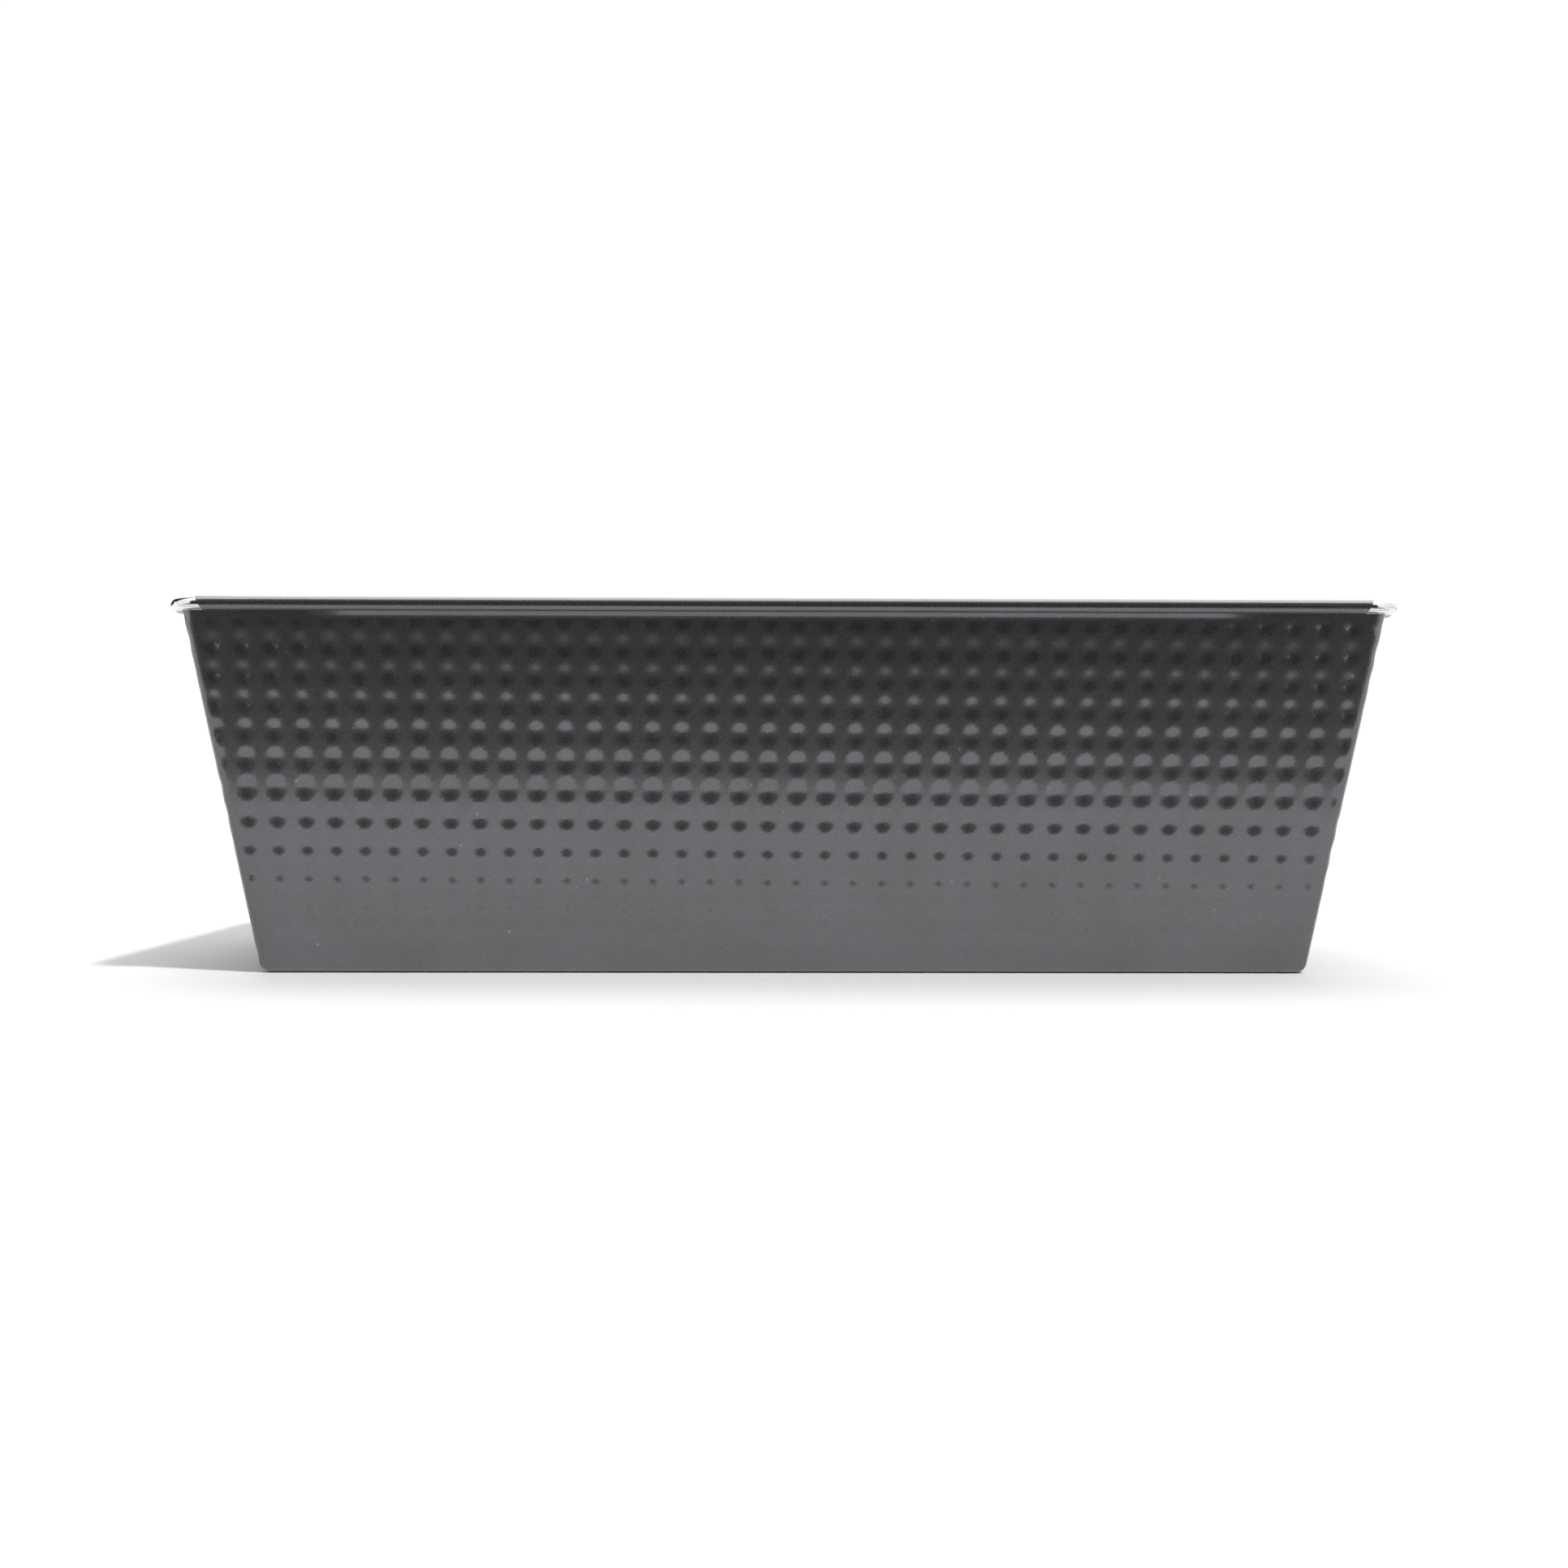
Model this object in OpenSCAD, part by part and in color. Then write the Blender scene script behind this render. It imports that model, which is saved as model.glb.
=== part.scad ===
// Loaf pan, in two pieces: a body folded from one steel sheet, and a wire ring that its rims are rolled round.
// Millimetres. The origin is under the middle of the base, +X runs along the pan, +Z is up.

/* [Overall size] */
// Length over the rolled rims
rim_length = 254; // [200:1:320]
// Width over the rolled rims
rim_width = 114; // [100:1:150]
// Height from the table to the top of the rims
rim_height = 78.2; // [60:0.1:95]

/* [Sheet] */
// Thickness of the steel sheet
sheet = 0.3; // [0.25:0.05:0.5]
// Lean of all four walls from upright, in degrees
wall_lean = 9.3; // [5:0.1:12]
// Outside radius of the bends round the base and at the upright corners
bend_r = 2.5; // [2:0.1:4]

/* [Rolled rims] */
// Diameter of the wire in the rims
wire_d = 2.2; // [1.8:0.1:2.6]
// Centreline radius of the wire's four corner bends
wire_bend_r = 5.4; // [4.5:0.1:5.4]
// Bare wire at a corner, from the outside of the rim to the top of a rolled rim's end
bare_corner = 6.8; // [6.8:0.1:8]
// How much further back the lower edge of a rolled rim is cut at its ends
mitre = 1.6; // [1:0.1:3]
// How far the walls stand inside the rolls, which a bend under each roll makes up for
neck = 0.2; // [0.1:0.05:0.4]
// Angle of the gap between a roll's free edge and the wall
roll_gap_angle = 50; // [35:1:70]

/* [Hidden] */
$fn = 48;
wire_play = 0.02; // between the wire and the inside of a roll
root_inset = 0.02; // keeps the faces of a roll's root off the faces of the wall it grows from
root_depth = 1.5; // of a roll's root in the wall below it
root_top = 0.06; // height a roll's root reaches above the middle of its wire
rim_clearance = 0.1; // between the bare wire and the corner of the wall under it
arc_overrun = 0.003; // share of a bend's radius by which its arc passes the flats, for a clean crossing
past = 5; // how far cutting shapes pass what they cut
roll_in = wire_d / 2 + wire_play;
roll_out = roll_in + sheet;
ear_t = 2 * sheet; // an ear is a fold of two layers
wire_z = rim_height - roll_out;
wall_top = wire_z - roll_in - rim_clearance;
wire_x = rim_length / 2 - roll_out;
wire_y = rim_width / 2 - roll_out;
rise = tan(wall_lean); // outward, for each unit of height
// Half sizes of the outside at the table, where the sharp corner would be
base_x = wire_x - (roll_in + neck) / cos(wall_lean) - wire_z * rise;
base_y = wire_y - (roll_in + neck) / cos(wall_lean) - wire_z * rise;
corner_turn = acos(pow(sin(wall_lean), 2)); // between the outward normals of two neighbouring walls
edge_lean = atan(sin(wall_lean)); // of a corner edge, measured in the plane of a wall
ear_fold = 45 - 2 * edge_lean; // of an ear's folded edge, inward from upright in the plane of the end wall

// What rounding takes off a corner whose two flats face 0 and `turn` degrees, about the bend's centre
module rounding_waste(r, turn) {
    reach = r + 1;
    difference() {
        polygon([
            [0, 0],
            [reach, 0],
            [reach, reach * tan(turn / 2)],
            [reach * cos(turn), reach * sin(turn)]
        ]);
        circle(r = r);
    }
}

// Upright section of a tub with leaning sides: half width at the table, floor height, bend radius, top
module tub_section(half, floor_z, r, top_z) {
    set_in = r * (1 - arc_overrun);
    bend_z = floor_z + set_in;
    bend_x = half + bend_z * rise - set_in / cos(wall_lean);
    low = half + floor_z * rise;
    high = half + top_z * rise;
    difference() {
        polygon([[-low, floor_z], [low, floor_z], [high, top_z], [-high, top_z]]);
        for (side = [0, 1])
            mirror([side, 0])
                translate([bend_x, bend_z])
                    rotate(-90)
                        rounding_waste(r, 90 - wall_lean);
    }
}

// Draws a section in its own x (across) and y (up), and runs it `length` along X or along Y
module along_x(length) {
    rotate([90, 0, 90])
        linear_extrude(length, center = true)
            children();
}

module along_y(length) {
    rotate([90, 0, 0])
        linear_extrude(length, center = true)
            children();
}

// What rounding takes off the four leaning corner edges of a tub
module corner_waste(half_x, half_y, r) {
    set_in = r * (1 - arc_overrun) / cos(wall_lean);
    out = [0, -cos(wall_lean), -sin(wall_lean)];
    up = [rise, -rise, 1] / norm([rise, -rise, 1]);
    turn = cross(up, out);
    foot = [half_x - set_in, -half_y + set_in, 0];
    for (flip_x = [0, 1], flip_y = [0, 1])
        mirror([flip_x, 0, 0])
            mirror([0, flip_y, 0])
                multmatrix([
                    [out.x, turn.x, up.x, foot.x],
                    [out.y, turn.y, up.y, foot.y],
                    [out.z, turn.z, up.z, foot.z],
                    [0, 0, 0, 1]
                ])
                    translate([0, 0, -past])
                        linear_extrude(rim_height + 3 * past)
                            rounding_waste(r, corner_turn);
}

// A solid tub
module tub(half_x, half_y, floor_z, r, top_z) {
    difference() {
        intersection() {
            along_x(rim_length + past) tub_section(half_y, floor_z, r, top_z);
            along_y(rim_width + past) tub_section(half_x, floor_z, r, top_z);
        }
        corner_waste(half_x, half_y, r);
    }
}

// Between its two ears an end wall is a single sheet, so the ears' thickness comes off there
module between_ears() {
    spread = tan(ear_fold) / cos(wall_lean);
    low = base_y - bend_r + past * spread;
    for (side = [0, 1])
        mirror([side, 0, 0])
            intersection() {
                along_y(rim_width)
                    difference() {
                        translate([base_x / 2, -past])
                            square([rim_length, rim_height + past]);
                        tub_section(base_x - ear_t / cos(wall_lean), 0, bend_r, rim_height + past);
                    }
                along_x(2 * rim_length)
                    polygon([[-low, -past], [low, -past], [0, (low / spread) - past]]);
            }
}

module walls() {
    skin = sheet / cos(wall_lean);
    difference() {
        tub(base_x, base_y, 0, bend_r, wall_top);
        tub(base_x - ear_t / cos(wall_lean) - skin, base_y - skin, sheet, bend_r - sheet, wall_top + past);
        between_ears();
    }
}

// Section of a rolled rim round the middle of its wire, x outward and y up the wall.
// `extra` is the thickness of the ears that are rolled in with the sheet.
module roll_section(extra) {
    gap_low = past * [-cos(roll_gap_angle), -sin(roll_gap_angle)];
    rotate(-wall_lean) {
        difference() {
            union() {
                circle(r = roll_out);
                if (extra > 0)
                    rotate(wall_lean)
                        translate([-extra, 0])
                            circle(r = roll_out);
            }
            polygon([[0, 0], [-past, 0], [-past, gap_low.y], gap_low]);
        }
        wall_end = -roll_in - rim_clearance;
        root_low = wall_end - root_depth;
        roll_face = roll_in + root_inset;
        roll_back = roll_out + extra - root_inset;
        polygon([
            [-roll_face - neck, root_low],
            [-roll_face, wall_end - root_depth / 2],
            [-roll_face, root_top],
            [-roll_back, root_top],
            [-roll_back - neck, wall_end],
            [-roll_back - neck, root_low]
        ]);
    }
}

// What is kept of a roll between its two mitred ends, seen from the side
module mitred_ends(half) {
    high = half - bare_corner;
    low = high - mitre;
    slope = mitre / (2 * roll_out);
    polygon([
        [-low + past * slope, wire_z - roll_out - past],
        [low - past * slope, wire_z - roll_out - past],
        [high + past * slope, rim_height + past],
        [-high - past * slope, rim_height + past]
    ]);
}

module rolled_rims() {
    for (side = [0, 1])
        mirror([0, side, 0])
            intersection() {
                along_x(rim_length)
                    translate([wire_y, wire_z])
                        roll_section(0);
                along_y(2 * rim_width) mitred_ends(rim_length / 2);
            }
    for (side = [0, 1])
        mirror([side, 0, 0])
            intersection() {
                along_y(rim_width)
                    translate([wire_x, wire_z])
                        roll_section(ear_t);
                along_x(2 * rim_length) mitred_ends(rim_width / 2);
            }
}

// Closed ring of round section along the rim
module ring(r) {
    straight_x = wire_x - wire_bend_r;
    straight_y = wire_y - wire_bend_r;
    translate([0, 0, wire_z]) {
        for (side = [-1, 1]) {
            translate([0, side * wire_y, 0])
                rotate([0, 90, 0])
                    cylinder(r = r, h = 2 * straight_x, center = true);
            translate([side * wire_x, 0, 0])
                rotate([90, 0, 0])
                    cylinder(r = r, h = 2 * straight_y, center = true);
        }
        for (flip_x = [0, 1], flip_y = [0, 1])
            mirror([flip_x, 0, 0])
                mirror([0, flip_y, 0])
                    translate([straight_x, straight_y, 0])
                        rotate_extrude(angle = 90)
                            translate([wire_bend_r, 0])
                                circle(r = r);
    }
}

module pan_body() {
    color([0.2, 0.2, 0.21])
        difference() {
            union() {
                walls();
                rolled_rims();
            }
            ring(roll_in);
        }
}

module rim_wire() {
    color([0.8, 0.8, 0.82])
        ring(wire_d / 2);
}

pan_body();
rim_wire();
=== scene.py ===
"""Loaf pan: one folded, dimpled sheet with rolled rims, and the bright wire inside them.

The pan's lengths are in millimetres; `MM` turns them into metres where an object is made.
The studio is in metres.
+X runs along the pan, -Y is its front, and the table is z = 0.
"""

import math

import bmesh
import bpy
import numpy as np
from mathutils import Matrix, Vector


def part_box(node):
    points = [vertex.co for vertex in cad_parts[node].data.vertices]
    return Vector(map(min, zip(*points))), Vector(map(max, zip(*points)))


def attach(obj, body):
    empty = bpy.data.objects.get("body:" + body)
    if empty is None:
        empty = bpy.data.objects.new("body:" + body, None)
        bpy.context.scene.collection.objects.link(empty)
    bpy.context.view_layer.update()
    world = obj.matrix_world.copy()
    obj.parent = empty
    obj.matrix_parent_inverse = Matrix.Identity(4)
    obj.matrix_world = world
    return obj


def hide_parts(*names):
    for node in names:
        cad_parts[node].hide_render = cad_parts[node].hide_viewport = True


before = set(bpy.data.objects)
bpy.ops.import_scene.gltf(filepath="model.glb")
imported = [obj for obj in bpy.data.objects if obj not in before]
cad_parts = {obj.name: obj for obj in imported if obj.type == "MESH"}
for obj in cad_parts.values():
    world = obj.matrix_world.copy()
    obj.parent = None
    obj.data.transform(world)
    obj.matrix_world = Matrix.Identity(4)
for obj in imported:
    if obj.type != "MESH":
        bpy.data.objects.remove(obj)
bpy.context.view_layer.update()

MM = 0.001

# Overall size, from the frame
pan_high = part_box("pan_body")[1]
RIM_X = pan_high.x / MM  # half the length over the rims
RIM_Y = pan_high.y / MM  # half the width
RIM_Z = pan_high.z / MM

# Sheet and wire
SHEET = 0.3
LEAN = math.radians(9.3)  # of the walls, from upright
BEND_R = 2.5  # outside radius of the bends
WIRE_R = 1.1
WIRE_PLAY = 0.02
WIRE_BEND_R = 5.4
BARE_CORNER = 6.8  # from the outside of the rim to the top of a roll's end
MITRE = 1.6  # how much further back the lower edge of a roll's end is
NECK = 0.2  # how far the walls stand inside the rolls
ROLL_END = math.radians(-124)  # direction of a roll's free edge, from outward
RIM_CLEARANCE = 0.1

# Dimples: a square pattern, turned a little on the sheet
PITCH = 6.016
PATTERN_TURN = math.radians(0.404)
PATTERN_X = 8.595
PATTERN_UP = 75.17  # slant height of a dimple's middle on the front wall
DIMPLE_R = 2.9
DIMPLE_NARROW = 1.17  # how much narrower a dimple is along the long walls than up them
DIMPLE_SLOPE = math.radians(12.5)
DIMPLE_TIP = 0.75  # how round the middle of a dimple is
DIMPLE_RIM = 4  # how sharply its slope ends at the rim
FOOT_FLATTENING = 0.6  # share of their depth that they lose in the middle of the foot's bend
BEND_FLATTENING = 0.5  # and in the middle of a corner's bend

# Rolled rim and what is under it
ROLL_IN = WIRE_R + WIRE_PLAY
ROLL_OUT = ROLL_IN + SHEET
EAR_T = 2 * SHEET
WIRE_Z = RIM_Z - ROLL_OUT
WIRE_X = RIM_X - ROLL_OUT
WIRE_Y = RIM_Y - ROLL_OUT
WALL_TOP = WIRE_Z - ROLL_IN - RIM_CLEARANCE
RISE = math.tan(LEAN)
COS = math.cos(LEAN)
SIN = math.sin(LEAN)
BASE_X = WIRE_X - (ROLL_IN + NECK) / COS - WIRE_Z * RISE  # half sizes of the sharp corner at the table
BASE_Y = WIRE_Y - (ROLL_IN + NECK) / COS - WIRE_Z * RISE
EDGE_LEAN = math.atan(SIN)  # of a corner, in the plane of a wall
CORNER_TURN = math.acos(SIN * SIN)
EAR_FOLD = math.radians(45) - 2 * EDGE_LEAN
FOLD_SPREAD = math.tan(EAR_FOLD) / COS
FOLD_FOOT = BASE_Y - BEND_R

# Middle of the ball that rounds a bottom corner
BALL_X = BASE_X + BEND_R * RISE - BEND_R / COS
BALL_Y = BASE_Y + BEND_R * RISE - BEND_R / COS
FOOT_TURN = math.pi / 2 - LEAN
FOOT_LENGTH = BEND_R * FOOT_TURN
EAR_STEP = EAR_T / COS  # thickness of an ear, measured level

# Just under a roll the sheet turns out a little, and the dimples stop before it does
FLARE_LENGTH = 1.5
FLARE_BEND = 0.6  # length over which it turns
FLARE_SLOPE = 0.22
FLARE_FULL = 38  # from the end of a rim, where the flare starts to fade
FLARE_GONE = 26  # from the end of a rim, where it has gone
DIMPLE_FADE = 0.6  # width of the strip in which the dimples stop

# Rounded edge of an ear's fold: distance towards the middle past the flat, and depth
FOLD_EDGE = np.array([
    [SHEET * (1 - math.sin(math.radians(a))), SHEET * (1 - math.cos(math.radians(a)))]
    for a in (0, 25, 50, 72, 90)
] + [[0.03, 1.6 * SHEET], [0.1, EAR_T]])

# Mesh
CELL = PITCH / 8
KEEP_APART = 0.45 * CELL  # least distance from an even place to a fixed one
SAME_PLACE = 0.3 * CELL  # greatest distance between two points that a face's edge may join straight
NORMAL_STEP = 0.01  # for the slope of a dimpled face
SHARP_ANGLE = math.radians(40)
FOOT_ROWS = 6
BEND_COLUMNS = 7
ROLL_BACK_POINTS = 8  # of a roll's outline, from the wall to its top
ROLL_POINTS = 26  # from its top to its free edge
ROLL_SPACING = 2.4  # along a roll
WIRE_SIDES = 32
WIRE_BEND_STEPS = 20


def smooth(low, high, value):
    """Rises from 0 to 1 between two values"""
    part = np.clip((value - low) / (high - low), 0, 1)
    return part * part * (3 - 2 * part)


def dimple_section():
    """Distances from a dimple's middle, and its depth there"""
    away = np.linspace(0, DIMPLE_R, 281)
    slope = DIMPLE_SLOPE * away / (away + DIMPLE_TIP) * (1 - (away / DIMPLE_R) ** DIMPLE_RIM)
    steps = (slope[1:] + slope[:-1]) / 2 * (away[1] - away[0])
    depth = np.concatenate([np.cumsum(steps[::-1])[::-1], [0]])
    return away, depth


SECTION_AWAY, SECTION_DEPTH = dimple_section()


def dimple(blank_x, blank_y):
    """Depth of the dimples at places on the flat blank, which has the base in its middle"""
    along = blank_x - PATTERN_X
    up = -blank_y - (BALL_Y + FOOT_LENGTH - BEND_R * (1 - SIN) / COS) - PATTERN_UP
    turned_x = (along * math.cos(PATTERN_TURN) - up * math.sin(PATTERN_TURN)) / PITCH
    turned_y = (along * math.sin(PATTERN_TURN) + up * math.cos(PATTERN_TURN)) / PITCH
    off_x = (turned_x - np.round(turned_x)) * DIMPLE_NARROW
    off_y = turned_y - np.round(turned_y)
    away = np.hypot(off_x, off_y) * PITCH
    return np.interp(away, SECTION_AWAY, SECTION_DEPTH)


class Shell:
    """Points and faces of one mesh, gathered block by block"""

    def __init__(self):
        self.points = []
        self.normals = []  # zero where the mesh's own are kept
        self.count = 0
        self.faces = []
        self.edge_faces = []

    def add(self, points, normals=None):
        """Adds points and returns their numbers"""
        self.points.append(points)
        self.normals.append(np.zeros_like(points) if normals is None else normals)
        first = self.count
        self.count += len(points)
        return list(range(first, self.count))

    def stitch(self, row_a, row_b, bare=False):
        """Faces between two rows. A row is its places along the way and its point numbers."""
        (at_a, a), (at_b, b) = row_a, row_b
        out = self.edge_faces if bare else self.faces
        i = j = 0
        while i < len(a) - 1 or j < len(b) - 1:
            next_a = at_a[i + 1] if i + 1 < len(a) else math.inf
            next_b = at_b[j + 1] if j + 1 < len(b) else math.inf
            if abs(next_a - next_b) < SAME_PLACE:
                out.append((a[i], a[i + 1], b[j + 1], b[j]))
                i += 1
                j += 1
            elif next_a < next_b:
                out.append((a[i], a[i + 1], b[j]))
                i += 1
            else:
                out.append((a[i], b[j + 1], b[j]))
                j += 1

    def make(self, name, materials):
        """The object: its faces have the first material, and the sheet's cut edges the second"""
        mesh = bpy.data.meshes.new(name)
        faces = self.faces + self.edge_faces
        mesh.from_pydata((np.concatenate(self.points) * MM).tolist(), [], faces)
        work = bmesh.new()
        work.from_mesh(mesh)
        for face in work.faces:
            face.smooth = True
            face.material_index = 0 if face.index < len(self.faces) else 1
        slits = [edge for edge in work.edges if edge.is_boundary]  # tiny, at the corners of the base
        bmesh.ops.holes_fill(work, edges=slits)
        bmesh.ops.recalc_face_normals(work, faces=work.faces)
        work.to_mesh(mesh)
        work.free()
        mesh.set_sharp_from_angle(angle=SHARP_ANGLE)
        self.set_normals(mesh)
        for material in materials:
            mesh.materials.append(material)
        piece = bpy.data.objects.new(name, mesh)
        bpy.context.scene.collection.objects.link(piece)
        return piece

    def set_normals(self, mesh):
        """Gives the dimpled faces the true normals of their surface"""
        corner = np.empty(len(mesh.loops), dtype=np.int32)
        mesh.loops.foreach_get("vertex_index", corner)
        total = np.empty(len(mesh.polygons), dtype=np.int32)
        look = np.empty(len(mesh.polygons), dtype=np.int32)
        mesh.polygons.foreach_get("loop_total", total)
        mesh.polygons.foreach_get("material_index", look)
        bare = np.repeat(look > 0, total)
        normals = np.concatenate(self.normals)[corner]
        normals[bare] = 0
        mesh.normals_split_custom_set(normals.tolist())


def spread(low, high, extra=()):
    """Even places between two ends, with the ends and any extra places among them"""
    fixed = sorted([low, high, *extra])
    first = math.ceil(low / CELL)
    last = math.floor(high / CELL)
    even = [k * CELL for k in range(first, last + 1)]
    kept = [e for e in even if min(abs(e - f) for f in fixed) > KEEP_APART]
    return np.array(sorted(kept + fixed))


# The four walls in turn, seen from outside: along runs to the right and out towards the viewer
SIDES = [
    {"along": (1, 0), "out": (0, -1), "long": True},
    {"along": (0, 1), "out": (1, 0), "long": False},
    {"along": (-1, 0), "out": (0, 1), "long": True},
    {"along": (0, -1), "out": (-1, 0), "long": False},
]


def place(side, along, out, z):
    """Points from distances along a wall, out from the pan's middle and up"""
    along, out, z = np.broadcast_arrays(along, out, z)
    ax, ay = side["along"]
    ox, oy = side["out"]
    return np.stack([along * ax + out * ox, along * ay + out * oy, z], axis=-1).astype(float)


class Skin:
    """One face of the sheet, outside or inside, from the middle of the base to the top of the walls"""

    def __init__(self, shell, radius, has_ears):
        self.shell = shell
        self.radius = radius
        self.has_ears = has_ears
        self.floor = BEND_R - radius
        inset = 0 if has_ears else EAR_STEP
        self.ball = (BALL_X - inset, BALL_Y)

    def ball_of(self, side):
        """Half length of a wall's flat foot, and its distance out"""
        x, y = self.ball
        return (x, y) if side["long"] else (y, x)

    def top_slant(self):
        """Slant height of a wall's flat, from the end of the foot's bend"""
        return (WALL_TOP - BEND_R + self.radius * SIN) / COS

    def levels(self):
        """Rows from the base up: share of the foot's bend, and slant height above it"""
        rows = [(i / FOOT_ROWS, 0.0) for i in range(FOOT_ROWS + 1)]
        top = self.top_slant()
        count = round(top / CELL)
        return rows + [(1.0, top * i / count) for i in range(1, count + 1)]

    def profile(self, side, share, slant):
        """Half length of a wall at a level, its distance out, its height and its normal"""
        half, out = self.ball_of(side)
        turn = share * FOOT_TURN
        normal = (math.sin(turn), -math.cos(turn))
        return (
            half + slant * SIN,
            out + self.radius * normal[0] + slant * SIN,
            BEND_R + self.radius * normal[1] + slant * COS,
            normal,
        )

    def blank_out(self, side, share, slant):
        """How far out a level is on the flat blank"""
        start = BALL_Y if side["long"] else BALL_X
        return start + share * FOOT_LENGTH + slant

    def flare(self, side, along, slant):
        """The sheet turns out a little just under a roll, except near the corners"""
        reach = np.maximum(0.0, slant - (self.top_slant() - FLARE_LENGTH))
        bent = np.minimum(reach, FLARE_BEND)
        out = FLARE_SLOPE * (bent * bent / (2 * FLARE_BEND) + (reach - bent))
        end = RIM_X if side["long"] else RIM_Y
        return out * (1 - smooth(end - FLARE_FULL, end - FLARE_GONE, np.abs(along)))

    def wall_points(self, side, along, share, slant, depth=0.0, own=True, strength=1.0):
        """Dimpled points on a wall. An ear's points take their dimples from the long wall beside it."""
        out, z, normal = self.profile(side, share, slant)[1:]
        if own:
            x, y = self.own_blank(side, along, share, slant)
        else:
            x, y = self.ear_blank(side, along, slant)
        foot = 1 - FOOT_FLATTENING * math.sin(math.pi * share)
        flare_foot = self.top_slant() - FLARE_LENGTH
        strength = strength * foot * (1 - smooth(flare_foot - DIMPLE_FADE, flare_foot, slant))
        shift = -dimple(x, y) * strength + self.flare(side, along, slant)
        return place(side, along, out - depth / COS + shift * normal[0], z + shift * normal[1])

    def wall_normals(self, side, along, slant, own=True):
        """Normals of a wall's dimpled points, out of the metal"""
        right = self.wall_points(side, along + NORMAL_STEP, 1.0, slant, own=own)
        left = self.wall_points(side, along - NORMAL_STEP, 1.0, slant, own=own)
        above = self.wall_points(side, along, 1.0, slant + NORMAL_STEP, own=own)
        below = self.wall_points(side, along, 1.0, slant - NORMAL_STEP, own=own)
        normal = np.cross(right - left, above - below)
        normal /= np.linalg.norm(normal, axis=1)[:, None]
        return normal if self.has_ears else -normal

    def own_blank(self, side, along, share, slant):
        """Where points on a wall are on the flat blank"""
        reach = self.blank_out(side, share, slant)
        ax, ay = side["along"]
        ox, oy = side["out"]
        return along * ax + reach * ox, along * ay + reach * oy

    def ear_blank(self, side, along, slant):
        """Where points on an ear are on the blank, beyond the long wall that the ear is folded from"""
        half = self.ball_of(side)[0]
        inward = half - np.abs(along)
        up_edge = slant * math.cos(EDGE_LEAN) - inward * math.sin(EDGE_LEAN)
        past_edge = inward * math.cos(EDGE_LEAN) + slant * math.sin(EDGE_LEAN)
        return self.corner_blank(side["out"][0], np.sign(along) * side["along"][1], up_edge,
                                 past_edge + BEND_R * CORNER_TURN)

    def corner_blank(self, sign_x, sign_y, up_edge, past_edge):
        """A place on the blank, from a long wall's corner edge: up along the edge, and past it"""
        x = BALL_X + up_edge * math.sin(EDGE_LEAN) + past_edge * math.cos(EDGE_LEAN)
        reach = BALL_Y + FOOT_LENGTH + up_edge * math.cos(EDGE_LEAN) - past_edge * math.sin(EDGE_LEAN)
        return sign_x * x, sign_y * reach

    def bend_points(self, side, share, slant, at_top):
        """Points round the corner to the right of a wall, in the order of the walls"""
        long_first = side["long"]
        ax, ay = side["along"]
        ox, oy = side["out"]
        sign = (ax + ox, ay + oy)
        centre = np.array([sign[0] * self.ball[0], sign[1] * self.ball[1], BEND_R])
        up = np.array([sign[0] * RISE, sign[1] * RISE, 1.0])
        up /= np.linalg.norm(up)
        start = np.array([ox * COS, oy * COS, -SIN])
        turn = np.linspace(0, CORNER_TURN, BEND_COLUMNS + 1)
        normal = np.outer(np.cos(turn), start) + np.outer(np.sin(turn), np.cross(up, start))
        if share < 1:
            down = np.array([0.0, 0.0, -1.0])
            full = np.arccos(normal @ down)[:, None]
            normal = (np.sin((1 - share) * full) * down + np.sin(share * full) * normal) / np.sin(full)
        if at_top:
            rise = (WALL_TOP - BEND_R - self.radius * normal[:, 2]) / up[2]
        else:
            rise = np.full(len(turn), slant / math.cos(EDGE_LEAN))
        points = centre + np.outer(rise, up) + self.radius * normal
        past = BEND_R * (turn if long_first else CORNER_TURN - turn)
        sides = share * (1 - share) * 4
        strength = 1 - BEND_FLATTENING * (np.sin(math.pi * turn / CORNER_TURN) + sides)
        depth = dimple(*self.corner_blank(*sign, rise, past))
        if not self.has_ears:
            near_long = past < BEND_R * CORNER_TURN / 2
            beside_end = dimple(*self.end_corner_blank(*sign, rise, BEND_R * CORNER_TURN - past))
            depth = np.where(near_long, depth, beside_end)
            strength = strength * np.abs(1 - 2 * turn / CORNER_TURN)
        if share < 1:
            strength = strength * share
        return points - normal * (depth * np.clip(strength, 0, 1))[:, None], turn * BEND_R

    def end_corner_blank(self, sign_x, sign_y, up_edge, past_edge):
        """A place on the blank, from an end wall's corner edge"""
        y = BALL_Y + up_edge * math.sin(EDGE_LEAN) + past_edge * math.cos(EDGE_LEAN)
        reach = BALL_X + FOOT_LENGTH + up_edge * math.cos(EDGE_LEAN) - past_edge * math.sin(EDGE_LEAN)
        return sign_x * reach, sign_y * y

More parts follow.
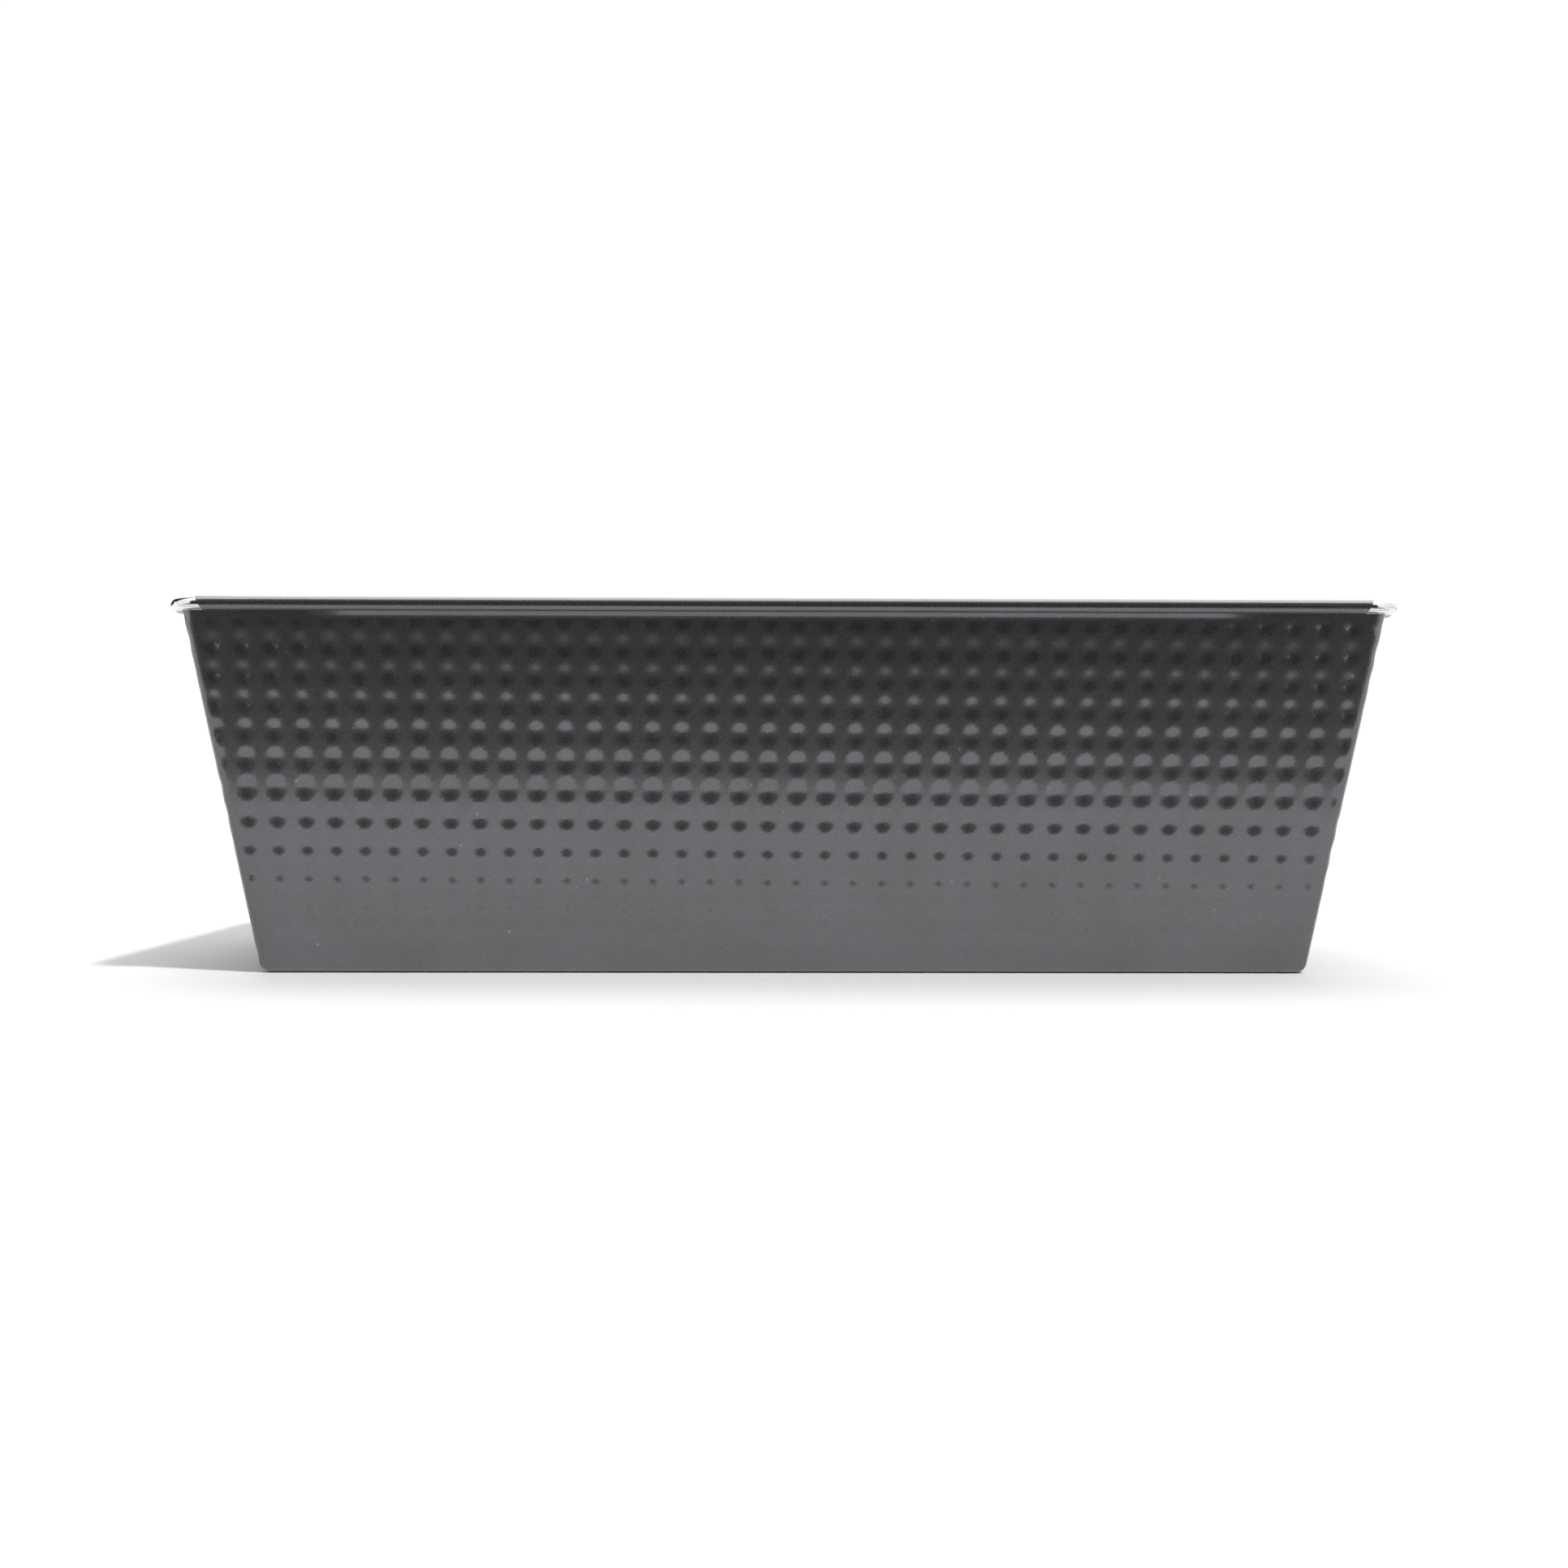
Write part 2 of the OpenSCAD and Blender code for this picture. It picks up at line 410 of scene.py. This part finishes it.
    def wall_blocks(self, side, share, slant, at_top):
        """The blocks of points along one wall at one level"""
        half, _, z, _ = self.profile(side, share, slant)
        extra = [-roll_half(side, z), roll_half(side, z)] if at_top else []
        exact = share == 1 and slant > 0
        if side["long"] or not self.has_ears:
            along = spread(-half, half, extra)
            normals = self.wall_normals(side, along, slant) if exact else None
            return [(along, self.wall_points(side, along, share, slant), normals)]
        fold = FOLD_FOOT - FOLD_SPREAD * z
        widen = 1 / math.cos(EAR_FOLD)
        across = fold + FOLD_EDGE[:, 0] * widen  # from the ear's flat to the single sheet
        depth = FOLD_EDGE[:, 1]
        fade = 1 - depth / EAR_T
        left = spread(-half, -across[0], extra[:1])
        left_points = self.wall_points(side, left, share, slant, own=False)
        edge_points = self.wall_points(side, -across, share, slant, depth, own=False, strength=fade)
        middle = spread(-across[-1], across[-1])
        middle_points = self.wall_points(side, middle, share, slant, EAR_T)
        right_edge = self.wall_points(side, across[::-1], share, slant, depth[::-1], own=False,
                                      strength=fade[::-1])
        right = spread(across[0], half, extra[1:])
        right_points = self.wall_points(side, right, share, slant, own=False)
        steps = np.arange(len(across)) * CELL
        edge_points[-1] = middle_points[0]
        right_edge[0] = middle_points[-1]
        normals = [None] * 3
        if exact:
            normals = [
                self.wall_normals(side, left, slant, own=False),
                self.wall_normals(side, middle, slant),
                self.wall_normals(side, right, slant, own=False),
            ]
        return [
            (left, left_points, normals[0]),
            (steps, edge_points, None),
            (middle, middle_points, normals[1]),
            (steps, right_edge, None),
            (right, right_points, normals[2]),
        ]

    def build(self):
        """The whole face, row by row from the foot up, and then the base"""
        rows = []
        for number, (share, slant) in enumerate(self.levels()):
            at_top = number == len(self.levels()) - 1
            rows.append(self.level(share, slant, at_top))
        for low, high in zip(rows, rows[1:]):
            for block_low, block_high in zip(low, high):
                self.shell.stitch(block_low, block_high)
        self.fill_base(rows[0])
        self.top = rows[-1]

    def level(self, share, slant, at_top):
        """One row round the pan, as blocks that share their end points"""
        blocks = []
        for side in SIDES:
            walls = self.wall_blocks(side, share, slant, at_top)
            blocks += walls
            points, along = self.bend_points(side, share, slant, at_top)
            if share == 0:
                points, along = points[:1], along[:1]
            blocks.append((along, points, None))
        row = []
        start = None
        for number, (along, points, normals) in enumerate(blocks):
            last_block = number == len(blocks) - 1
            if number == 0:
                ids = self.shell.add(points, normals)
                start = ids[0]
            elif last_block:
                ids = [row[-1][1][-1]] + (self.shell.add(points[1:-1]) if len(points) > 2 else [])
                if len(points) > 1:
                    ids.append(start)
            else:
                rest = None if normals is None else normals[1:]
                ids = [row[-1][1][-1]] + self.shell.add(points[1:], rest)
            row.append((list(along), ids))
        return row

    def fill_base(self, row):
        """The base, row by row across the pan from front to back, ending in the walls' lowest rows"""
        front, right, back, left = self.group(row)
        count = math.floor((self.ball[1] - KEEP_APART) / CELL)
        coordinate = {}
        points = np.concatenate(self.shell.points)
        for vertex in right + left:
            coordinate[vertex] = points[vertex]
        edge_r = list(right)
        edge_l = left[::-1]

        def at(ids, y):
            return min(ids, key=lambda v: abs(coordinate[v][1] - y))

        previous = None
        for k in range(-count, count + 1):
            y = k * CELL
            first, last = at(edge_l, y), at(edge_r, y)
            x_low, x_high = coordinate[first][0], coordinate[last][0]
            along = spread(x_low, x_high)[1:-1]
            across = np.full(len(along), y)
            z = self.floor + dimple(along, across)
            ids = self.shell.add(np.stack([along, across, z], axis=-1), self.base_normals(along, across))
            current = ([x_low, *along, x_high], [first, *ids, last])
            if previous is None:
                self.close_base(front, current, edge_l, edge_r, coordinate, -1)
            else:
                self.shell.stitch(previous, current)
            previous = current
        self.close_base(back[::-1], previous, edge_l, edge_r, coordinate, 1)

    def base_normals(self, x, y):
        """Normals of the base's dimpled points, out of the metal"""
        slope_x = (dimple(x + NORMAL_STEP, y) - dimple(x - NORMAL_STEP, y)) / (2 * NORMAL_STEP)
        slope_y = (dimple(x, y + NORMAL_STEP) - dimple(x, y - NORMAL_STEP)) / (2 * NORMAL_STEP)
        normal = np.stack([slope_x, slope_y, -np.ones_like(x)], axis=-1)
        normal /= np.linalg.norm(normal, axis=1)[:, None]
        return normal if self.has_ears else -normal

    def close_base(self, outer, inner, edge_l, edge_r, coordinate, sign):
        """The strip between the last row of the base and the foot of a long wall"""
        inner_ids = inner[1]
        y_inner = coordinate[inner_ids[0]][1] * sign

        def beyond(edge):
            """The points of an end's edge that are past the inner row, from it outward"""
            past = [v for v in edge if coordinate[v][1] * sign > y_inner + 1e-6]
            kept = [v for v in past if v not in (outer[0], outer[-1])]
            return sorted(kept, key=lambda v: coordinate[v][1] * sign)

        ids = beyond(edge_l)[::-1] + list(inner_ids) + beyond(edge_r)
        points = np.concatenate(self.shell.points)
        at_ids = np.maximum.accumulate([points[v][0] for v in ids])
        at_outer = [points[v][0] for v in outer]
        self.shell.stitch((list(at_outer), list(outer)), (list(at_ids), ids))

    def blocks_of(self, side):
        """How many blocks of points there are along a wall"""
        return 1 if side["long"] or not self.has_ears else 5

    def bend_row(self, number):
        """Point numbers of the top row of the corner to the right of a wall"""
        before = sum(self.blocks_of(side) for side in SIDES[:number + 1]) + number
        return self.top[before][1]

    def group(self, row):
        """A row's point numbers wall by wall, without the corners' bends"""
        groups = []
        number = 0
        for blocks in map(self.blocks_of, SIDES):
            ids = []
            for _ in range(blocks):
                block = row[number][1]
                ids += block if not ids else block[1:]
                number += 1
            groups.append(ids)
            number += 1
        return groups


def roll_half(side, z):
    """Half the length of a rolled rim at a height"""
    rim = RIM_X if side["long"] else RIM_Y
    return rim - BARE_CORNER - MITRE * (RIM_Z - z) / (2 * ROLL_OUT)


def roll_section(side, radius, inside):
    """Outline of a rolled rim's face: distances out and heights, from the wall to the free edge"""
    middle = WIRE_Y if side["long"] else WIRE_X
    widen = 0 if side["long"] or not inside else EAR_T
    turn_up = math.pi / 2 + LEAN
    first = np.linspace(math.pi, turn_up, ROLL_BACK_POINTS)
    rest = np.linspace(turn_up, ROLL_END, ROLL_POINTS)
    outline = [(middle - widen + radius * math.cos(a - LEAN), WIRE_Z + radius * math.sin(a - LEAN))
               for a in first]
    if widen == 0:
        rest = rest[1:]
    outline += [(middle + radius * math.cos(a - LEAN), WIRE_Z + radius * math.sin(a - LEAN))
                for a in rest]
    return outline


def roll_rim(shell, skin, side, top, inside):
    """One face of a rolled rim. Returns its free edge and its two ends, as rows."""
    half = roll_half(side, WALL_TOP)
    at_top, ids_top = top
    first = min(range(len(at_top)), key=lambda i: abs(at_top[i] + half))
    last = min(range(len(at_top)), key=lambda i: abs(at_top[i] - half))
    previous = (at_top[first:last + 1], ids_top[first:last + 1])
    count = round(2 * half / ROLL_SPACING)
    step = np.linspace(-1, 1, count + 1)
    ends = ([ids_top[first]], [ids_top[last]])
    radius = ROLL_OUT if inside else ROLL_IN
    outline = roll_section(side, radius, inside)
    start_out, start_z = outline[0]
    top_slant = skin.top_slant()
    wall_out, wall_z = skin.profile(side, 1, top_slant)[1:3]
    root = [(share, start_out, start_z) for share in (1 / 3, 2 / 3)]
    for share, out, z in root + [(1, out, z) for out, z in outline]:
        level = wall_z + share * (z - wall_z)
        along = step * roll_half(side, level)
        flare = skin.flare(side, along, top_slant) * (1 - share)
        across = wall_out + share * (out - wall_out) + flare * COS
        ids = shell.add(place(side, along, across, level - flare * SIN))
        current = (list(along), ids)
        shell.stitch(previous, current)
        previous = current
        ends[0].append(ids[0])
        ends[1].append(ids[-1])
    return previous, ends


def pan_body(materials):
    """The folded sheet: outside and inside faces, joined round every edge"""
    shell = Shell()
    outside = Skin(shell, BEND_R, True)
    inside = Skin(shell, BEND_R - SHEET, False)
    outside.build()
    inside.build()
    tops = [outside.group(outside.top), inside.group(inside.top)]
    rows = [[], []]
    for which, skin in enumerate((outside, inside)):
        points = np.concatenate(shell.points)
        for side, ids in zip(SIDES, tops[which]):
            ax, ay = side["along"]
            along = np.maximum.accumulate([points[v][0] * ax + points[v][1] * ay for v in ids])
            rows[which].append((list(along), ids))
    finished = []
    for side, row_out, row_in in zip(SIDES, rows[0], rows[1]):
        edge_out, ends_out = roll_rim(shell, outside, side, row_out, False)
        edge_in, ends_in = roll_rim(shell, inside, side, row_in, True)
        shell.stitch(edge_out, edge_in, bare=True)
        for end_out, end_in in zip(ends_out, ends_in):
            at_out = np.linspace(0, 100, len(end_out))
            at_in = np.linspace(0, 100, len(end_in))
            shell.stitch((list(at_out), end_out), (list(at_in), end_in), bare=True)
        finished.append((ends_out, ends_in))
    for number, side in enumerate(SIDES):
        following = (number + 1) % 4
        loops = []
        for which, skin in enumerate((outside, inside)):
            ids = rows[which][number][1]
            start = ids.index(finished[number][which][1][0])
            bend = skin.bend_row(number)
            next_ids = rows[which][following][1]
            stop = next_ids.index(finished[following][which][0][0])
            loops.append(ids[start:] + bend[1:-1] + next_ids[:stop + 1])
        at = [list(np.linspace(0, 100, len(loop))) for loop in loops]
        shell.stitch((at[0], loops[0]), (at[1], loops[1]), bare=True)
    return shell.make("pan_sheet", materials)


def rim_wire(material):
    """The closed ring of wire"""
    straight_x = WIRE_X - WIRE_BEND_R
    straight_y = WIRE_Y - WIRE_BEND_R
    up = Vector((0, 0, 1))
    centre = []
    outward = []
    for number, (sx, sy) in enumerate(((1, -1), (1, 1), (-1, 1), (-1, -1))):
        for k in range(WIRE_BEND_STEPS + 1):
            turn = -math.pi / 2 + (number + k / WIRE_BEND_STEPS) * math.pi / 2
            out = Vector((math.cos(turn), math.sin(turn), 0))
            centre.append(Vector((sx * straight_x, sy * straight_y, WIRE_Z)) + WIRE_BEND_R * out)
            outward.append(out)
    work = bmesh.new()
    rings = []
    for middle, out in zip(centre, outward):
        ring = []
        for k in range(WIRE_SIDES):
            turn = 2 * math.pi * k / WIRE_SIDES
            point = middle + WIRE_R * (math.cos(turn) * out + math.sin(turn) * up)
            ring.append(work.verts.new(point * MM))
        rings.append(ring)
    for ring, following in zip(rings, rings[1:] + rings[:1]):
        for k in range(WIRE_SIDES):
            after = (k + 1) % WIRE_SIDES
            face = work.faces.new((ring[k], ring[after], following[after], following[k]))
            face.smooth = True
    bmesh.ops.recalc_face_normals(work, faces=work.faces)
    mesh = bpy.data.meshes.new("rim_wire_ring")
    work.to_mesh(mesh)
    work.free()
    mesh.materials.append(material)
    piece = bpy.data.objects.new("rim_wire_ring", mesh)
    bpy.context.scene.collection.objects.link(piece)
    return piece


# Looks. Noise scales are per metre, and a bump's height is in metres.
COAT_DARK = (0.160, 0.161, 0.165)
COAT_LIGHT = (0.174, 0.176, 0.181)
COAT_METALLIC = 0.87
COAT_BUMP = 0.000006
GLOSSY = 0.12  # roughness of the coating's smooth parts
POWDERY = 0.42  # and of the fine powder on them
SPECK_TONE = (0.5, 0.5, 0.5)
SCRATCH_TONE = (0.42, 0.42, 0.42)
SCRATCH_TURN = (0.3, 0.9, 0.2)
SCRATCH_STRETCH = (30, 900, 900)
STEEL_SPREAD = 0.1  # of bright steel's roughness
STEEL_BUMP = 0.000008


def new_material(name):
    """A material, its nodes and links, and its shader"""
    material = bpy.data.materials.new(name)
    material.use_nodes = True
    nodes = material.node_tree.nodes
    return material, nodes, material.node_tree.links, nodes["Principled BSDF"]


def noise(nodes, links, where, scale, detail):
    node = nodes.new("ShaderNodeTexNoise")
    node.inputs["Scale"].default_value = scale
    node.inputs["Detail"].default_value = detail
    links.new(where, node.inputs["Vector"])
    return node.outputs["Fac"]


def ramp(nodes, links, source, stops):
    """Turns a value into the colours or greys of its stops"""
    node = nodes.new("ShaderNodeValToRGB")
    elements = node.color_ramp.elements
    for number, (at, value) in enumerate(stops):
        colour = value if isinstance(value, tuple) else (value, value, value)
        element = elements[number] if number < 2 else elements.new(at)
        element.position = at
        element.color = (*colour, 1)
    links.new(source, node.inputs["Fac"])
    return node.outputs["Color"]


def bump(nodes, links, height, distance, below=None):
    """A bump, on top of another one if there is one below it"""
    node = nodes.new("ShaderNodeBump")
    node.inputs["Distance"].default_value = distance
    links.new(height, node.inputs["Height"])
    if below is not None:
        links.new(below, node.inputs["Normal"])
    return node.outputs["Normal"]


def mix(nodes, links, share, first, second, blend="MIX"):
    """Mixes two colours. Each input is another node's output or a value."""
    node = nodes.new("ShaderNodeMix")
    node.data_type = "RGBA"
    node.blend_type = blend
    share_socket, first_socket, second_socket = node.inputs[0], node.inputs[6], node.inputs[7]
    for source, socket in ((share, share_socket), (first, first_socket), (second, second_socket)):
        if isinstance(source, bpy.types.NodeSocket):
            links.new(source, socket)
        elif isinstance(source, tuple):
            socket.default_value = (*source, 1)
        else:
            socket.default_value = source
    mixed_colour = node.outputs[2]
    return mixed_colour


def stretched(nodes, links, where, turn, scale):
    """Turned and stretched coordinates"""
    node = nodes.new("ShaderNodeMapping")
    node.inputs["Rotation"].default_value = turn
    node.inputs["Scale"].default_value = scale
    links.new(where, node.inputs["Vector"])
    return node.outputs["Vector"]


def coating():
    """Dark semi-gloss baked coating: a fine grain, a few specks and hairline scratches"""
    material, nodes, links, shader = new_material("coated_sheet")
    where = nodes.new("ShaderNodeTexCoord").outputs["Object"]
    blotch = noise(nodes, links, where, 60, 4)
    grain = noise(nodes, links, where, 4400, 1)
    coarse = noise(nodes, links, where, 1500, 2)
    powder = noise(nodes, links, where, 14000, 1)
    specks = noise(nodes, links, where, 900, 0)
    along_scratch = stretched(nodes, links, where, SCRATCH_TURN, SCRATCH_STRETCH)
    scratches = noise(nodes, links, along_scratch, 1, 2)

    colour = ramp(nodes, links, blotch, [(0.3, COAT_DARK), (0.7, COAT_LIGHT)])
    grain_tone = ramp(nodes, links, grain, [(0.25, 0.92), (0.75, 1.08)])
    colour = mix(nodes, links, 1.0, colour, grain_tone, "MULTIPLY")
    speck = ramp(nodes, links, specks, [(0.85, 0.0), (0.89, 0.4)])
    colour = mix(nodes, links, speck, colour, SPECK_TONE)
    hairline = ramp(nodes, links, scratches, [(0.785, 0.0), (0.80, 0.35)])
    colour = mix(nodes, links, hairline, colour, SCRATCH_TONE)
    links.new(colour, shader.inputs["Base Color"])

    roughness = ramp(nodes, links, powder, [(0.50, GLOSSY), (0.66, POWDERY)])
    links.new(roughness, shader.inputs["Roughness"])
    shader.inputs["Metallic"].default_value = COAT_METALLIC
    fine = bump(nodes, links, grain, COAT_BUMP)
    links.new(bump(nodes, links, coarse, COAT_BUMP, below=fine), shader.inputs["Normal"])
    return material


def bright_metal(name, roughness, colour):
    """Bright drawn steel, with faint lines and smears"""
    material, nodes, links, shader = new_material(name)
    where = nodes.new("ShaderNodeTexCoord").outputs["Object"]
    smear = noise(nodes, links, where, 220, 4)
    lines = noise(nodes, links, where, 2600, 2)
    dull = tuple(c * 0.9 for c in colour)
    links.new(ramp(nodes, links, smear, [(0.3, dull), (0.7, colour)]), shader.inputs["Base Color"])
    varied = ramp(nodes, links, smear, [(0.25, roughness), (0.75, roughness + STEEL_SPREAD)])
    links.new(varied, shader.inputs["Roughness"])
    shader.inputs["Metallic"].default_value = 1.0
    links.new(bump(nodes, links, lines, STEEL_BUMP), shader.inputs["Normal"])
    return material


def glow(name, colour, strength=1.0):
    """Plain emission"""
    material = bpy.data.materials.new(name)
    material.use_nodes = True
    nodes = material.node_tree.nodes
    nodes.clear()
    shader = nodes.new("ShaderNodeEmission")
    shader.inputs["Color"].default_value = (*colour, 1)
    shader.inputs["Strength"].default_value = strength
    out = nodes.new("ShaderNodeOutputMaterial")
    material.node_tree.links.new(shader.outputs["Emission"], out.inputs["Surface"])
    return material


# Studio, in metres. The cards stand for what the pan reflects, in front of it and behind it.
FLOOR_REACH = 4.0
FLOOR_EDGE = -0.161  # where the floor in front turns dark
FLOOR_BACK = -0.7  # and where it ends
FLOOR_CARD_SIDE = 0.45
FLOOR_CARD_Z = 0.0003
PAN_FOOT = -0.0395  # front edge of the flat of its base
DARK_LEFT = (-2.6, -0.56, 1.0, 1.05)  # left and right ends, distance behind the pan, and height
DARK_TONE = (0.02, 0.02, 0.025)
DARK_FRONT_HALF = 0.52
SOFTBOX_HALF = 0.9
SOFTBOX_HEIGHT = 1.1
SOFTBOX_TONE = (1.0, 0.98, 0.93)
SOFTBOX_POWER = 3.2
SURROUND_RADIUS = 5
SURROUND_POWER = 1.05
WORLD_GREY = 0.40

# Camera, in millimetres and radians. It is level, and turned a hair to the right.
CAMERA_LENS = 36.873
CAMERA_PLACE = Vector((-4.2726, -383.2825, 40.2729))
CAMERA_YAW = 0.0116347
CAMERA_ROLL = 0.0022643


def fading(name, axis, start, end, stops):
    """Glow that changes along one axis"""
    material = glow(name, (0, 0, 0))
    nodes = material.node_tree.nodes
    links = material.node_tree.links
    split = nodes.new("ShaderNodeSeparateXYZ")
    links.new(nodes.new("ShaderNodeTexCoord").outputs["Object"], split.inputs["Vector"])
    span = nodes.new("ShaderNodeMapRange")
    span.inputs["From Min"].default_value = start
    span.inputs["From Max"].default_value = end
    links.new(split.outputs[axis], span.inputs["Value"])
    links.new(ramp(nodes, links, span.outputs["Result"], stops), nodes["Emission"].inputs["Color"])
    return material


def card(name, corners, material):
    """A flat piece of the studio"""
    mesh = bpy.data.meshes.new(name)
    mesh.from_pydata(corners, [], [tuple(range(len(corners)))])
    mesh.materials.append(material)
    made = bpy.data.objects.new(name, mesh)
    bpy.context.scene.collection.objects.link(made)
    return made


def reflected_card(name, corners, material):
    """A card that only reflections see"""
    made = card(name, corners, material)
    made.visible_camera = False
    made.visible_diffuse = False
    made.visible_shadow = False
    made.visible_transmission = False
    made.visible_volume_scatter = False


def floor_card(name, near, far, stops):
    """Part of the floor in front of the pan, as reflections show it"""
    side = FLOOR_CARD_SIDE
    z = FLOOR_CARD_Z
    corners = [(-side, far, z), (side, far, z), (side, near, z), (-side, near, z)]
    reflected_card(name, corners, fading(name, "Y", near, far, stops))


def studio():
    """White floor and surround, dark in front of the white floor, as reflections on the pan show"""
    floor_material, _, _, shader = new_material("floor")
    shader.inputs["Base Color"].default_value = (0.85, 0.85, 0.85, 1)
    shader.inputs["Roughness"].default_value = 0.9
    shader.inputs["Specular IOR Level"].default_value = 0.1
    reach = FLOOR_REACH
    card("floor", [(-reach, -reach, 0), (reach, -reach, 0), (reach, reach, 0), (-reach, reach, 0)],
         floor_material)
    floor_card("dark_floor", FLOOR_EDGE, FLOOR_BACK, [
        (0.0, (0.50, 0.49, 0.50)), (0.03, (0.26, 0.25, 0.26)), (0.08, (0.15, 0.14, 0.15)),
        (0.25, (0.105, 0.092, 0.108)), (0.4, (0.07, 0.06, 0.072)), (1.0, (0.035, 0.03, 0.036))])
    floor_card("bright_floor", PAN_FOOT, FLOOR_EDGE, [
        (0.0, (0.74, 0.75, 0.765)), (0.13, (0.77, 0.78, 0.795)), (0.25, (0.82, 0.83, 0.845)),
        (0.36, (0.85, 0.865, 0.88)), (0.6, (0.90, 0.92, 0.94)), (1.0, (0.985, 1.0, 1.02))])

    far, side, behind, high = DARK_LEFT
    reflected_card("dark_behind", [
        (far, behind, 0.04), (side, behind, 0.04), (side, behind, high), (far, behind, high)],
        glow("dark_behind", DARK_TONE))
    reflected_card("dark_above", [
        (far, 0.2, high), (side, 0.2, high), (side, behind, high), (far, behind, high)],
        glow("dark_above", DARK_TONE))
    reflected_card("dark_strip", [
        (1.0, -0.6, 0.155), (1.0, behind, 0.155), (1.0, behind, 0.205), (1.0, -0.6, 0.205)],
        glow("dark_strip", (0.06, 0.08, 0.08)))
    reflected_card("grey_behind", [
        (0.5, behind, 0.08), (0.95, behind, 0.08), (0.95, behind, 0.45), (0.5, behind, 0.45)],
        glow("grey_behind", (0.42, 0.5, 0.48)))

    ceiling = SOFTBOX_HEIGHT
    half = DARK_FRONT_HALF
    reflected_card("dark_front", [
        (-half, FLOOR_BACK, 0), (half, FLOOR_BACK, 0), (half, -0.55, ceiling), (-half, -0.55, ceiling)],
        fading("dark_front", "Z", 0, ceiling, [
            (0.0, (0.010, 0.008, 0.010)), (0.25, (0.012, 0.010, 0.012)), (0.45, (0.09, 0.09, 0.08)),
            (0.7, (0.28, 0.28, 0.25)), (1.0, (0.6, 0.6, 0.55))]))
    half = SOFTBOX_HALF
    reflected_card("softbox", [
        (-half, -0.44, ceiling), (half, -0.44, ceiling), (half, 1.2, ceiling), (-half, 1.2, ceiling)],
        glow("softbox", SOFTBOX_TONE, SOFTBOX_POWER))

    dome = bpy.data.meshes.new("backdrop")
    work = bmesh.new()
    bmesh.ops.create_icosphere(work, subdivisions=4, radius=SURROUND_RADIUS)
    work.to_mesh(dome)
    work.free()
    dome.materials.append(glow("white_surround", (1, 1, 1), SURROUND_POWER))
    backdrop = bpy.data.objects.new("backdrop", dome)
    bpy.context.scene.collection.objects.link(backdrop)
    backdrop.visible_diffuse = False
    backdrop.visible_shadow = False
    backdrop.visible_transmission = False

    world = bpy.data.worlds.new("studio")
    world.use_nodes = True
    background = world.node_tree.nodes["Background"]
    background.inputs["Color"].default_value = (WORLD_GREY, WORLD_GREY, WORLD_GREY, 1)
    bpy.context.scene.world = world


def sun_light(name, along, softness, power):
    """A sun shining along a direction, whose disc is `softness` degrees wide. Reflections don't show it."""
    data = bpy.data.lights.new(name, "SUN")
    data.angle = math.radians(softness)
    data.energy = power
    light = bpy.data.objects.new(name, data)
    bpy.context.scene.collection.objects.link(light)
    light.rotation_euler = Vector(along).to_track_quat("-Z", "Y").to_euler()
    light.visible_glossy = False


def camera():
    """Level camera close in front of the pan, at half its height"""
    data = bpy.data.cameras.new("camera")
    data.lens = CAMERA_LENS
    data.sensor_width = 36
    data.clip_start = 0.01
    made = bpy.data.objects.new("camera", data)
    bpy.context.scene.collection.objects.link(made)
    ahead = Vector((math.sin(CAMERA_YAW), math.cos(CAMERA_YAW), 0))
    right = Vector((math.cos(CAMERA_YAW), -math.sin(CAMERA_YAW), 0))
    up = Vector((0, 0, 1))
    axes = Matrix((
        right * math.cos(CAMERA_ROLL) + up * math.sin(CAMERA_ROLL),
        up * math.cos(CAMERA_ROLL) - right * math.sin(CAMERA_ROLL),
        -ahead,
    )).transposed()
    made.matrix_world = Matrix.Translation(CAMERA_PLACE * MM) @ axes.to_4x4()
    bpy.context.scene.camera = made


camera()
studio()
sun_light("key", (-0.35, 0.36, -1.0), 4, 2.0)
sun_light("overhead", (0.0, -0.3, -1.0), 40, 1.1)
bpy.context.scene.view_settings.view_transform = "Standard"

body = pan_body([coating(), bright_metal("bare_edge", 0.3, (0.62, 0.63, 0.62))])
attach(body, "root")
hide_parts("pan_body")

wire = rim_wire(bright_metal("bright_wire", 0.06, (0.82, 0.83, 0.80)))
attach(wire, "root")
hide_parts("rim_wire")
